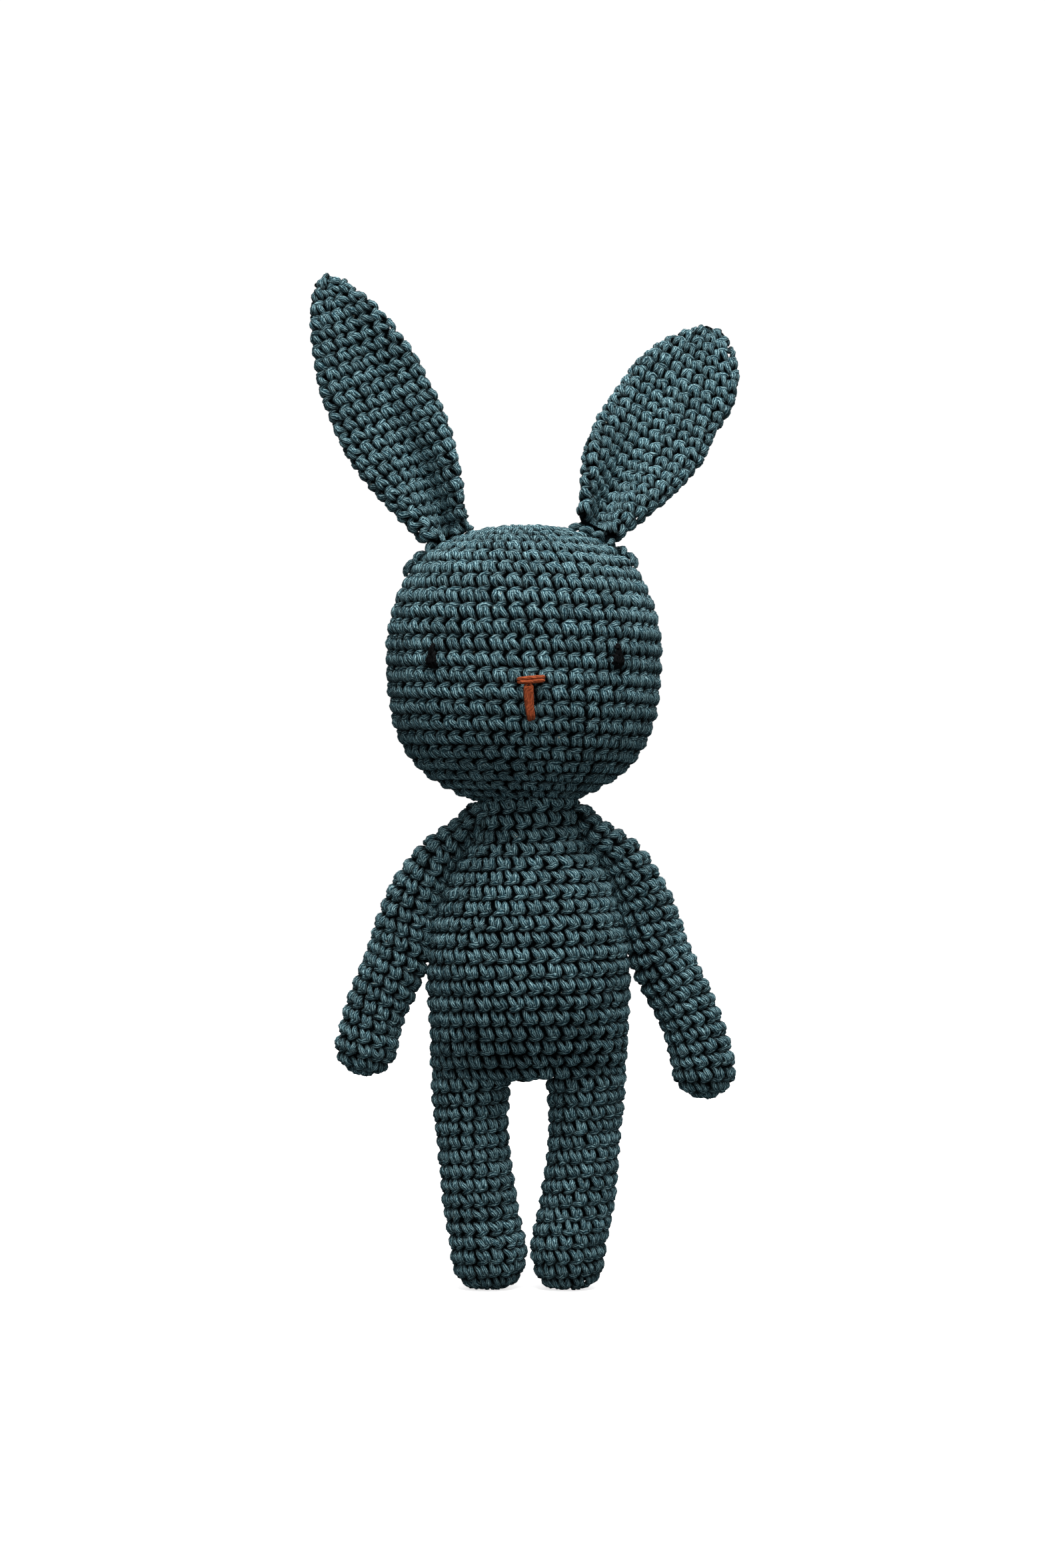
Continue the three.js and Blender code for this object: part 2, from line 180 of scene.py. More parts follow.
# Centre line of each arm from the shoulder: outwards, downwards.
ARM_LINES = {
    LEFT: [(0, 0), (9.4, 9), (16.1, 23), (20.8, 38), (26.8, 53), (31.4, 67), (33.6, 80.4)],
    RIGHT: [(0, 0), (9.2, 9.2), (16.1, 23), (20.4, 38), (25, 52), (27.9, 63), (29.2, 73.4)],
}
ARM_TOP = (-5.4, -6.9)  # the flat end that is sewn on beside the neck
ARM_ROOT = 4.2  # half thickness of that end
ARM_INWARDS = 1.8  # how much nearer the upper arm lies to the body
ARM_SEAM_REACH = 15.6  # from the neck's middle to the seam

# Ears: where they stand on the head, how they lean outwards and backwards (degrees), their length and relative width.
EARS = {
    LEFT: dict(out=22, lean=27.5, back=24, length=77.5, width=1.03, sway=2.6, blunt=0.2),
    RIGHT: dict(out=24, lean=24.4, back=0, length=82.5, width=0.98, sway=0.0, blunt=0.0),
}
EAR_ROOT = 4
EAR_FOLD = 8.5  # depth of the forward fold at the base
EAR_SEAM = (9.3, 6.2)  # half width and half depth of the seam round the base

# Each ear from base to tip, as shares of its length and half width: along, half width, half thickness in mm.
EAR_OUTLINE = [
    (-0.05, 0.44, 3.4),
    (0, 0.5, 3.8),
    (0.08, 0.65, 4),
    (0.2, 0.84, 3.7),
    (0.34, 0.97, 3.4),
    (0.48, 1, 3.2),
    (0.64, 0.93, 3.1),
    (0.8, 0.72, 3),
    (0.92, 0.45, 2.6),
    (0.985, 0.2, 1.8),
    (1, 0.04, 0.5),
]

# Strands of the face, laid one beside the other. Eyes: sideways offset, lowest and highest point from the middle.
EYE_HEIGHT = 189
EYES = {"eye_left": (28, -0.2), "eye_right": (-26.2, 0.2)}  # place across the face, lean
EYE_STRANDS = [(-1.1, -2.1, 0.0), (-0.4, -3.0, 2.4), (0.4, -3.1, 3.0), (1.1, -2.3, 0.6)]
# Nose: across and up, with the lift off the face.
NOSE_BAR = [([(-0.6, 181.9), (2.6, 182.3), (6.0, 182.5)], 1.4), ([(-0.5, 181.1), (2.8, 181.2), (5.9, 181.5)], 1.5)]
NOSE_STEM = [
    ([(1.4, 180.8), (1.3, 178), (1.7, 174), (2.2, 170.6)], 1.4),
    ([(2.5, 180.9), (2.6, 178), (2.7, 174), (3.1, 170.9)], 1.2),
]

PELVIS = 80  # rounds of the body below this height go into the legs' pieces

# Stitches of the limbs and ears are smaller than those of head and body, by these shares.
LEG_STITCH, ARM_STITCH, EAR_STITCH = 0.9, 0.88, 0.86

# Lights: place, target, size and power.
LIGHTS = {
    "softbox_above": ((0.1, -0.5, 1.33), (0, 0, 0.15), 0.9, 23.5),
    "fill_in_front": ((0.12, -1.8, 0.5), (0, 0, 0.11), 1.2, 9),
    "fill_behind": ((0.5, 1.7, 0.8), (0, 0, 0.15), 1.4, 9),
}


# ---- Small mathematics ----


def smooth_rows(rows, count):
    """count points on a smooth curve through the rows, evenly spaced in row number."""
    rows = np.asarray(rows, float)
    padded = np.vstack([2 * rows[0] - rows[1], rows, 2 * rows[-1] - rows[-2]])
    place = np.linspace(0, len(rows) - 1, count)
    i = np.minimum(place.astype(int), len(rows) - 2)
    t = (place - i)[:, None]
    a, b, c, d = (padded[i + k] for k in range(4))
    return 0.5 * (2 * b + (c - a) * t + (2 * a - 5 * b + 4 * c - d) * t**2 + (3 * b - a - 3 * c + d) * t**3)


def smoothstep(x, low, high):
    t = np.clip((x - low) / (high - low), 0, 1)
    return t * t * (3 - 2 * t)


def unit(vectors):
    return vectors / np.maximum(np.linalg.norm(vectors, axis=-1, keepdims=True), 1e-12)


def superellipse(angles, half_width, half_depth, squareness):
    c, s = np.cos(angles), np.sin(angles)
    power = 2 / squareness
    return np.sign(c) * np.abs(c) ** power * half_width, np.sign(s) * np.abs(s) ** power * half_depth


def stadium(half_width, half_depth, count):
    """Points evenly spaced round a flattened tube, from the middle of its back."""
    radius = min(half_depth, half_width)
    flat = half_width - radius
    total = 4 * flat + 2 * math.pi * radius
    across, deep = [], []
    for share in np.linspace(0, 1, count, endpoint=False):
        way = (share * total + flat) % total
        side = 1 if way < total / 2 else -1
        way = way % (total / 2)
        if way < 2 * flat:
            u, v = flat - way, radius
        else:
            angle = (way - 2 * flat) / radius
            u, v = -flat - radius * math.sin(angle), radius * math.cos(angle)
        across.append(u * side)
        deep.append(v * side)
    return np.array(across), np.array(deep)


RING = 96  # points round each row of a skin
BACK = math.pi / 2  # rounds begin at the back, where a hand-made doll hides its steps


def ring_angles():
    return BACK + np.linspace(0, 2 * math.pi, RING, endpoint=False)


def level_rings(rows, x, squareness):
    """Rings of points from rows of height, half width and half depth, round a centre line at x."""
    rings = []
    for row, middle in zip(rows, np.broadcast_to(x, len(rows))):
        across, deep = superellipse(ring_angles(), row[1], row[2], squareness)
        rings.append(np.stack([middle + across, deep, np.full(RING, row[0])], axis=1))
    return np.array(rings) * MM


def lumps(points, size, height):
    """Gentle unevenness of hand stuffing: a smooth, fixed wave of the place on the surface."""
    x, y, z = (points[..., i] / size for i in range(3))
    wave = np.sin(x * 1.7 + y * 2.3 + 1.1) * np.cos(z * 1.9 - x + 0.4) + np.sin(z * 2.7 + y * 1.3 + 2.2)
    return height * 0.5 * wave


class Skin:
    """A surface as rows of rings, in the order in which it is crocheted, with its outward direction."""

    def __init__(self, grid, inset=None, unevenness=0.35 * MM):
        inset = sizes().fabric_depth if inset is None else inset
        self.grid = grid
        self.find_directions()
        self.grid = grid + self.outward * (lumps(grid, 14 * MM, unevenness) - inset)[..., None]
        self.find_directions()
        steps = np.linalg.norm(np.diff(self.grid, axis=0), axis=2).mean(axis=1)
        self.along_length = np.concatenate([[0], np.cumsum(steps)])

    def find_directions(self):
        around = np.roll(self.grid, -1, axis=1) - np.roll(self.grid, 1, axis=1)
        self.along = unit(np.gradient(self.grid, axis=0))
        self.outward = unit(np.cross(around, self.along))
        middle = self.grid.mean(axis=1, keepdims=True)
        half = len(self.grid) // 2
        if ((self.grid - middle) * self.outward)[half].sum() < 0:
            self.outward = -self.outward
        turned = np.roll(self.outward, -1, axis=1) - np.roll(self.outward, 1, axis=1)
        self.bend = (turned * around).sum(axis=2) / np.maximum((around * around).sum(axis=2), 1e-12)

    def sample(self, values, row, turn):
        """Values at a fractional row and a share of the way round."""
        row = np.clip(row, 0, len(self.grid) - 1.001)
        r, column = int(row), (turn % 1) * RING
        c = int(column)
        f, g = row - r, column - c
        low = values[r, c % RING] * (1 - g) + values[r, (c + 1) % RING] * g
        high = values[r + 1, c % RING] * (1 - g) + values[r + 1, (c + 1) % RING] * g
        return low * (1 - f) + high * f

    def stitches(self, width, height, end=0.5, multiple=3, fewest=5, lean=0.12, swell=1.0, keep=None):
        """One entry per single crochet, in a spiral: its place, upward and outward directions, size and bend."""
        full = sizes()
        total = self.along_length[-1] - (end - 0.5) * height
        count = max(int(round(total / height)), 1)
        pitch = total / count
        found = []
        phase = 0.0
        for k in range(count):
            middle = (k + 0.5) * pitch
            row = np.interp(middle, self.along_length, np.arange(len(self.grid)))
            r = int(min(round(row), len(self.grid) - 1))
            ring = self.grid[r]
            steps = np.linalg.norm(np.roll(ring, -1, axis=0) - ring, axis=1)
            travelled = np.concatenate([[0], np.cumsum(steps)])
            number = max(int(round(travelled[-1] / width / multiple)) * multiple, fewest)
            phase += lean / number
            for i in range(number):
                passed = (i + 0.5) / number + phase
                turn = np.interp(passed % 1 * travelled[-1], travelled, np.linspace(0, 1, RING + 1))
                spiral = (passed - 0.5) * pitch
                here = np.interp(middle + spiral, self.along_length, np.arange(len(self.grid)))
                place = self.sample(self.grid, here, turn)
                if keep is not None and not keep(place):
                    continue
                outward = unit(self.sample(self.outward, here, turn))
                along = self.sample(self.along, here, turn)
                along = unit(along - outward * (along @ outward))
                bend = float(np.clip(self.sample(self.bend[..., None], here, turn)[0], 0, 1 / (2.2 * MM)))
                wide, high = travelled[-1] / number / full.stitch_width * swell, pitch / full.round_height * swell
                found.append((place, along, outward, wide, high, bend))
        return found


# ---- Meshes ----


def mesh_from(name, vertices, faces):
    mesh = bpy.data.meshes.new(name)
    mesh.from_pydata([tuple(v) for v in vertices], [], faces)
    mesh.update()
    return mesh


def new_object(name, mesh):
    thing = bpy.data.objects.new(name, mesh)
    bpy.context.scene.collection.objects.link(thing)
    return thing


def painted_shade_sheet_mesh(name, skin, depth, rows=None, columns=48):
    """The sheet of painted shade under the fabric: the skin itself, drawn in a little, closed at both ends."""
    rows = rows or max(int(skin.along_length[-1] / (2.2 * MM)), 6)
    picked = np.linspace(0, len(skin.grid) - 1, rows)
    turns = np.linspace(0, 1, columns, endpoint=False)
    vertices = []
    for row in picked:
        for turn in turns:
            vertices.append(skin.sample(skin.grid, row, turn) - skin.sample(skin.outward, row, turn) * depth)
    faces = []
    flipped = facing_in(np.array(vertices), columns)
    for r in range(rows - 1):
        for c in range(columns):
            a, b = r * columns + c, r * columns + (c + 1) % columns
            quad = (a, b, b + columns, a + columns)
            faces.append(quad[::-1] if flipped else quad)
    first, last = list(range(columns)), list(range((rows - 1) * columns, rows * columns))
    faces.append(tuple(first if flipped else first[::-1]))
    faces.append(tuple(last[::-1] if flipped else last))
    mesh = mesh_from(name, vertices, faces)
    mesh.shade_smooth()
    return mesh


def facing_in(vertices, columns):
    rows = len(vertices) // columns
    middle = rows // 2 * columns
    a, b, c = vertices[middle], vertices[middle + 1], vertices[middle + columns]
    centre = vertices[middle : middle + columns].mean(axis=0)
    return np.cross(b - a, c - a) @ (a - centre) < 0


def strand(points, radius, sides=6, segments=5, taper=0.45):
    """A short yarn through the points: vertices, faces, and for each face corner its place round and along."""
    line = smooth_rows(points, segments + 1)
    tangent = unit(np.gradient(line, axis=0))
    side = unit(np.cross(tangent, (0, 0, 1)))
    lift = np.cross(side, tangent)
    travelled = np.concatenate([[0], np.cumsum(np.linalg.norm(np.diff(line, axis=0), axis=1))])
    vertices, faces, places = [], [], []
    for i, centre in enumerate(line):
        share = i / segments
        thick = radius * (taper + (1 - taper) * math.sin(math.pi * (0.12 + 0.76 * share)))
        for k in range(sides):
            angle = 2 * math.pi * k / sides
            vertices.append(centre + thick * (math.cos(angle) * side[i] + math.sin(angle) * lift[i]))
    for i in range(segments):
        for k in range(sides):
            a, b = i * sides + k, i * sides + (k + 1) % sides
            faces.append((a, b, b + sides, a + sides))
            near, far = travelled[i] / MM, travelled[i + 1] / MM
            places += [(k / sides, near), ((k + 1) / sides, near), ((k + 1) / sides, far), (k / sides, far)]
    return vertices, faces, places


def strands_mesh(name, strands):
    vertices, faces, places = [], [], []
    for v, f, p in strands:
        faces += [tuple(len(vertices) + i for i in face) for face in f]
        vertices += v
        places += p
    mesh = mesh_from(name, vertices, faces)
    layer = mesh.uv_layers.new(name="UVMap")
    layer.data.foreach_set("uv", np.array(places, np.float32).ravel())
    across = np.array([v[0] for v in vertices], np.float32)
    mesh.attributes.new("across", "FLOAT", "POINT").data.foreach_set("value", across)
    lift = np.array([v[2] / MM for v in vertices], np.float32)
    mesh.attributes.new("lift", "FLOAT", "POINT").data.foreach_set("value", lift)
    mesh.shade_smooth()
    return mesh


# One single crochet in shares of its width and height, with the lift off the fabric in mm:
# a slanted left leg, a steeper right leg, and the slanted bar under them.
SHAPES = 7  # how many slightly different stitches there are
STITCH = {
    "left_leg": [(-0.02, -0.36, 0.0), (-0.14, -0.16, 0.95), (-0.3, 0.07, 0.85), (-0.5, 0.34, -0.4)],
    "right_leg": [(0.3, -0.34, 0.0), (0.24, -0.13, 1.0), (0.15, 0.1, 0.9), (0.04, 0.36, -0.4)],
    "bar": [(-0.42, -0.5, -0.4), (-0.18, -0.42, 0.3), (0.12, -0.3, 0.45), (0.38, -0.16, -0.3)],
}


def stitch_shapes():
    """A few slightly different single crochets, to be set out over the fabric."""
    known = bpy.data.collections.get("stitch shapes")
    if known:
        return known
    s = sizes()
    group = bpy.data.collections.new("stitch shapes")
    chance = np.random.default_rng(s.seed)
    for number in range(SHAPES):
        parts = []
        for name, points in STITCH.items():
            line = np.array(points) + chance.normal(0, 1, (len(points), 3)) * (0.035, 0.035, 0.14)
            line *= (s.stitch_width, s.round_height, MM)
            thick = s.yarn_radius * (1.12 if name == "bar" else 1) * chance.uniform(0.92, 1.08)
            parts.append(strand(line, thick))
        group.objects.link(bpy.data.objects.new(f"stitch {number}", strands_mesh(f"stitch {number}", parts)))
    return group


# ---- Materials ----


def node(tree, kind, settings=None, inputs=None):
    """Adds a node; settings are its own properties, inputs are values or sockets to link, by socket name or number."""
    made = tree.nodes.new(kind)
    for key, value in (settings or {}).items():
        setattr(made, key, value)
    for key, value in (inputs or {}).items():
        if isinstance(value, bpy.types.NodeSocket):
            tree.links.new(value, made.inputs[key])
        else:
            made.inputs[key].default_value = value
    return made


def calculate(tree, operation, a, b=0.0):
    return node(tree, "ShaderNodeMath", {"operation": operation}, {0: a, 1: b}).outputs[0]


def mix_colour(tree, share, a, b, blend="MIX"):
    kinds = {"data_type": "RGBA", "blend_type": blend}
    return node(tree, "ShaderNodeMix", kinds, {0: share, 6: a, 7: b}).outputs[2]


def noise(tree, place, scale, detail):
    return node(tree, "ShaderNodeTexNoise", None, {"Vector": place, "Scale": scale, "Detail": detail}).outputs[0]


def new_material(name):
    material = bpy.data.materials.new(name)
    material.use_nodes = True
    material.node_tree.nodes.clear()
    return material, material.node_tree


def finish_material(tree, surface):
    node(tree, "ShaderNodeOutputMaterial", None, {"Surface": surface})


def yarn_material(name, light, mid, dark, plies=9, tone_range=(0.78, 1.22), fleck=0.0):
    """Plied yarn: fine parallel plies with a painted highlight on their crowns and painted shade in their grooves,
    streaky fibres, and stitches of slightly different tone.
    """
    known = bpy.data.materials.get(name)
    if known:
        return known
    material, tree = new_material(name)
    place = node(tree, "ShaderNodeAttribute", {"attribute_name": "UVMap"})
    tone = node(tree, "ShaderNodeAttribute", {"attribute_name": "tone"}).outputs["Fac"]
    parts = node(tree, "ShaderNodeSeparateXYZ", None, {0: place.outputs["Vector"]})
    round_, along = parts.outputs[0], parts.outputs[1]
    object_place = node(tree, "ShaderNodeTexCoord").outputs["Object"]
    wobble = noise(tree, object_place, 420, 2)
    # place across the plies: round the yarn, slowly turning along it
    twist = calculate(tree, "MULTIPLY", along, 0.38)
    across = calculate(tree, "ADD", calculate(tree, "MULTIPLY", round_, plies), twist)
    across = calculate(tree, "ADD", across, calculate(tree, "MULTIPLY", wobble, 3.0))
    wave = calculate(tree, "SINE", calculate(tree, "MULTIPLY", across, 2 * math.pi))
    ridge = calculate(tree, "MULTIPLY_ADD", wave, 0.5)
    ridge.node.inputs[2].default_value = 0.5
    # single fibres, drawn out along the yarn
    scaled = (calculate(tree, "MULTIPLY", value, scale) for value, scale in ((round_, 24), (along, 1.3), (tone, 37)))
    stretched = node(tree, "ShaderNodeCombineXYZ", None, dict(enumerate(scaled))).outputs[0]
    fibres = noise(tree, stretched, 1, 3)
    patches = noise(tree, object_place, 1400, 1)
    ridge = calculate(tree, "MULTIPLY", ridge, calculate(tree, "MULTIPLY", patches, 1.5))
    height = calculate(tree, "ADD", calculate(tree, "MULTIPLY", ridge, 0.75), calculate(tree, "MULTIPLY", fibres, 0.65))
    # Painted light and shade on the plies: the crowns take the lit colour as a painted highlight and the grooves the
    # dark colour as painted shade, mixed with lighter and darker fibres.
    shade = node(tree, "ShaderNodeValToRGB", None, {0: calculate(tree, "SUBTRACT", height, 0.12)})
    ramp = shade.color_ramp
    ramp.elements[0].position, ramp.elements[0].color = 0.04, dark
    ramp.elements[1].position, ramp.elements[1].color = 0.9, light
    middle = ramp.elements.new(0.42)
    middle.color = mid
    brightness = node(tree, "ShaderNodeMapRange", None, {0: tone, 3: tone_range[0], 4: tone_range[1]}).outputs[0]
    # painted shade: yarn that lies deep in the fabric is darkened in its colour, where the stitches above would shade
    # it
    lift = node(tree, "ShaderNodeAttribute", {"attribute_name": "lift"}).outputs["Fac"]
    depth = node(tree, "ShaderNodeMapRange", None, {0: lift, 1: 0.2, 2: 1.7, 3: 0.12, 4: 1.12}).outputs[0]
    brightness = calculate(tree, "MULTIPLY", brightness, depth)
    tinted = mix_colour(tree, 1.0, shade.outputs[0], brightness, "MULTIPLY")
    if fleck:
        spots = calculate(tree, "GREATER_THAN", noise(tree, object_place, 900, 1), 0.79)
        tinted = mix_colour(tree, calculate(tree, "MULTIPLY", spots, fleck), tinted, linear("#A9A796"))
    bump = node(tree, "ShaderNodeBump", None, {"Strength": 0.6, "Distance": 0.2 * MM, "Height": height}).outputs[0]
    skin = node(
        tree,
        "ShaderNodeBsdfPrincipled",
        None,
        {
            "Base Color": tinted,
            "Roughness": 0.95,
            "Specular IOR Level": 0.12,
            "Sheen Weight": 0.08,
            "Sheen Roughness": 0.5,
            "Sheen Tint": mid,
            "Normal": bump,
        },
    )
    finish_material(tree, skin.outputs[0])
    return material


def grey_yarn():
    c = colours()
    return yarn_material("slate cotton yarn", c.yarn_fibre_and_painted_highlight, c.yarn_mid, c.yarn_painted_groove_shade, fleck=0.6)


def nose_yarn():
    c = colours()
    # Painted highlight: the lit ply colour is the rust colour made lighter.
    light = [min(v * 1.35, 1) for v in c.nose[:3]] + [1]
    return yarn_material("rust embroidery yarn", light, c.nose, c.nose_painted_groove_shade, plies=5, tone_range=(0.95, 1.05))


def eye_yarn():
    c = colours()
    # Painted highlight: the lit ply colour is the black made lighter; the groove colour is painted shade.
    light = [v * 3 + 0.004 for v in c.eye[:3]] + [1]
    return yarn_material("black embroidery yarn", light, c.eye, linear("#020203"), plies=5, tone_range=(0.9, 1.1))


def painted_shade_material():
    """Painted shade under the stitches: a matt, almost black slate sheet, seen only through the gaps between stitches.
    """
    known = bpy.data.materials.get("fabric inside")
    if known:
        return known
    material, tree = new_material("fabric inside")
    look = {"Base Color": colours().painted_shade_sheet, "Roughness": 1, "Specular IOR Level": 0.05}
    skin = node(tree, "ShaderNodeBsdfPrincipled", None, look)
    finish_material(tree, skin.outputs[0])
    return material


# ---- Setting out the stitches ----


def stored(tree, name, kind="FLOAT"):
    """A value that the mesh carries under this name."""
    return node(tree, "GeometryNodeInputNamedAttribute", {"data_type": kind}, {"Name": name}).outputs[0]


def random_value(tree, kind, seed, limits, output):
    """A random value for each stitch, between limits given by socket."""
    return node(tree, "FunctionNodeRandomValue", {"data_type": kind}, {**limits, "Seed": seed}).outputs[output]


def stitch_tree():
    """Geometry Nodes that put one stitch shape on each point, turned and sized as the point says."""
    known = bpy.data.node_groups.get("set out stitches")
    if known:
        return known
    tree = bpy.data.node_groups.new("set out stitches", "GeometryNodeTree")
    inputs = {
        "Points": "Geometry",
        "Stitch shapes": "Collection",
        "Lining": "Object",
        "Yarn": "Material",
        "Jitter": "Float",
        "Seed": "Int",
    }
    for name, kind in inputs.items():
        tree.interface.new_socket(name, in_out="INPUT", socket_type="NodeSocket" + kind)
    tree.interface.new_socket("Fabric", in_out="OUTPUT", socket_type="NodeSocketGeometry")
    given = node(tree, "NodeGroupInput").outputs
    turn = stored(tree, "turn", "QUATERNION")
    size = stored(tree, "size", "FLOAT_VECTOR")
    shapes = node(
        tree,
        "GeometryNodeCollectionInfo",
        None,
        {"Collection": given["Stitch shapes"], "Separate Children": True, "Reset Children": True},
    ).outputs[0]
    most = node(tree, "ShaderNodeCombineXYZ", None, {axis: given["Jitter"] for axis in range(3)}).outputs[0]
    least = node(tree, "ShaderNodeVectorMath", {"operation": "SCALE"}, {0: most, "Scale": -1.0}).outputs[0]
    wobble = random_value(tree, "FLOAT_VECTOR", given["Seed"], {0: least, 1: most}, 0)
    turned = node(tree, "FunctionNodeRotateRotation", {"rotation_space": "LOCAL"}, {0: turn, 1: wobble}).outputs[0]
    which = random_value(tree, "INT", given["Seed"], {"Min": 0, "Max": SHAPES - 1}, 2)
    placed = node(
        tree,
        "GeometryNodeInstanceOnPoints",
        None,
        {
            "Points": given["Points"],
            "Instance": shapes,
            "Pick Instance": True,
            "Instance Index": which,
            "Rotation": turned,
            "Scale": size,
        },
    ).outputs[0]
    shade = random_value(tree, "FLOAT", given["Seed"], {2: 0.0, 3: 1.0}, 1)
    toned = node(
        tree,
        "GeometryNodeStoreNamedAttribute",
        {"data_type": "FLOAT", "domain": "INSTANCE"},
        {"Geometry": placed, "Name": "tone", "Value": shade},
    ).outputs[0]
    real = node(tree, "GeometryNodeRealizeInstances", None, {0: toned}).outputs[0]
    # each stitch is drawn down at its sides, as far as the surface under it bends
    across = stored(tree, "across")
    bend = calculate(tree, "MULTIPLY", stored(tree, "bend"), -0.5)
    outward = stored(tree, "outward", "FLOAT_VECTOR")
    drop = calculate(tree, "MULTIPLY", calculate(tree, "MULTIPLY", across, across), bend)
    down = node(tree, "ShaderNodeVectorMath", {"operation": "SCALE"}, {0: outward, "Scale": drop}).outputs[0]
    fitted = node(tree, "GeometryNodeSetPosition", None, {"Geometry": real, "Offset": down}).outputs[0]
    coloured = node(tree, "GeometryNodeSetMaterial", None, {"Geometry": fitted, "Material": given["Yarn"]}).outputs[0]
    painted_shade_sheet = node(tree, "GeometryNodeObjectInfo", None, {"Object": given["Lining"]}).outputs["Geometry"]
    joined = node(tree, "GeometryNodeJoinGeometry")
    tree.links.new(painted_shade_sheet, joined.inputs[0])
    tree.links.new(coloured, joined.inputs[0])
    out = node(tree, "NodeGroupOutput")
    tree.links.new(joined.outputs[0], out.inputs[0])
    return tree


def set_inputs(modifier, values):
    for item in modifier.node_group.interface.items_tree:
        if item.item_type == "SOCKET" and item.in_out == "INPUT" and item.name in values:
            modifier[item.identifier] = values[item.name]


def crochet(name, stitches, painted_shade_sheet, seed=0, relief=0.8):
    """The finished fabric of one piece: its stitches over a sheet of painted shade, as one plain mesh."""
    if not stitches:
        raise RuntimeError(f"{name} has no stitches")
    s = sizes()
    points = mesh_from(name + " points", [entry[0] for entry in stitches], [])
    quaternions, factors = [], []
    for _, along, outward, wide, high, _ in stitches:
        across = np.cross(along, outward)
        turn = Matrix((across, along, outward)).transposed().to_quaternion()
        quaternions += list(turn)
        factors += [wide, high, relief]
    points.attributes.new("turn", "QUATERNION", "POINT").data.foreach_set("value", quaternions)
    points.attributes.new("size", "FLOAT_VECTOR", "POINT").data.foreach_set("vector", factors)
    outwards = np.array([entry[2] for entry in stitches]).ravel()
    points.attributes.new("outward", "FLOAT_VECTOR", "POINT").data.foreach_set("vector", outwards)
    points.attributes.new("bend", "FLOAT", "POINT").data.foreach_set("value", [entry[5] for entry in stitches])
    # The near-black sheet under the stitches is painted shade, seen through their gaps.
    painted_shade_sheet.materials.append(painted_shade_material())
    inside = new_object(name + " lining", painted_shade_sheet)
    carrier = new_object(name + " carrier", points)
    modifier = carrier.modifiers.new("stitches", "NODES")
    modifier.node_group = stitch_tree()
    set_inputs(
        modifier,
        {
            "Stitch shapes": stitch_shapes(),
            "Lining": inside,
            "Yarn": grey_yarn(),
            "Jitter": s.jitter,
            "Seed": s.seed + seed,
        },
    )
    graph = bpy.context.evaluated_depsgraph_get()
    graph.update()
    mesh = bpy.data.meshes.new_from_object(carrier.evaluated_get(graph), depsgraph=graph)
    mesh.name = name
    for spent in (carrier, inside):
        bpy.data.objects.remove(spent)
    return new_object(name, mesh)


# ---- Skins of the pieces ----


def head_skin():
    s = sizes()
    slopes = np.radians(np.linspace(89.6, -79, 120))
    reach = np.cos(slopes) ** (2 / HEAD_SQUARENESS)
    rise = np.sign(slopes) * np.abs(np.sin(slopes)) ** (2 / HEAD_SQUARENESS)
    middle = s.neck_height + s.head_height / 2
    sag = HEAD_SAG * MM * smoothstep(-np.degrees(slopes), 56, 72)
    heights = middle + rise * s.head_height / 2 - sag
    rows = np.stack([heights, reach * s.head_width / 2, reach * s.head_depth / 2], axis=1)
    return Skin(level_rings(rows / MM, HEAD_X, 2.0))


def body_skin():
    rows = smooth_rows(BODY_OUTLINE, 110)
    near_neck = smoothstep(rows[:, 0], 132, 142)
    return Skin(level_rings(rows, BODY_X + (NECK_X - BODY_X) * near_neck, BODY_SQUARENESS))


def leg_skin(side):
    rows = smooth_rows(LEG_OUTLINE, 100)
    centres = BODY_X + side * rows[:, 2]
    rows = np.stack([rows[:, 0], rows[:, 1], rows[:, 1]], axis=1)
    return Skin(level_rings(rows, centres, 2.0))


def arm_skin(side):
    """From the hand up to the flattened end at the shoulder."""
    s = sizes()
    line = smooth_rows([ARM_TOP] + ARM_LINES[side], 130)
    inwards = ARM_INWARDS * (1 - smoothstep(line[:, 1], 34, 60))
    shoulder = np.array([BODY_X + side * s.shoulder_out / MM, 0, (s.neck_height - s.shoulder_drop) / MM])
    centres = shoulder + np.stack([side * (line[:, 0] - inwards), 0 * line[:, 0], -line[:, 1]], axis=1)
    travelled = np.concatenate([[0], np.cumsum(np.linalg.norm(np.diff(centres, axis=0), axis=1))])
    even = np.linspace(0, travelled[-1] - 0.05, 110)
    centres = np.stack([np.interp(even, travelled, centres[:, i]) for i in range(3)], axis=1)
    way = unit(np.gradient(centres, axis=0))
    radius = s.arm_radius / MM
    from_tip = np.clip((travelled[-1] - even) / radius, 0, 1)
    rounding = np.sqrt(np.maximum(1 - (1 - from_tip) ** 2, 0.0004))
    from_top = np.clip(even / ARM_ROOT, 0, 1)
    closing = np.sqrt(np.maximum(1 - (1 - from_top) ** 2, 0.03))
    thick = (ARM_ROOT + (radius - ARM_ROOT) * smoothstep(even, 0, 46)) * rounding * closing
    deep = radius * rounding * (0.8 + 0.2 * closing)
    rings = []
    for i in range(len(centres))[::-1]:
        across, back = superellipse(ring_angles(), thick[i], deep[i], ARM_SQUARENESS)
        direction = np.cross((0, 1, 0), way[i])
        rings.append(centres[i] + across[:, None] * direction + back[:, None] * np.array((0, 1, 0)))
    return Skin(np.array(rings) * MM)


def head_top(x):
    """Height of the head's surface above its middle line, in mm."""
    s = sizes()
    reach = abs(x - HEAD_X) / (s.head_width / MM / 2)
    rise = (1 - reach**HEAD_SQUARENESS) ** (1 / HEAD_SQUARENESS)
    return (s.neck_height + s.head_height / 2 + rise * s.head_height / 2) / MM


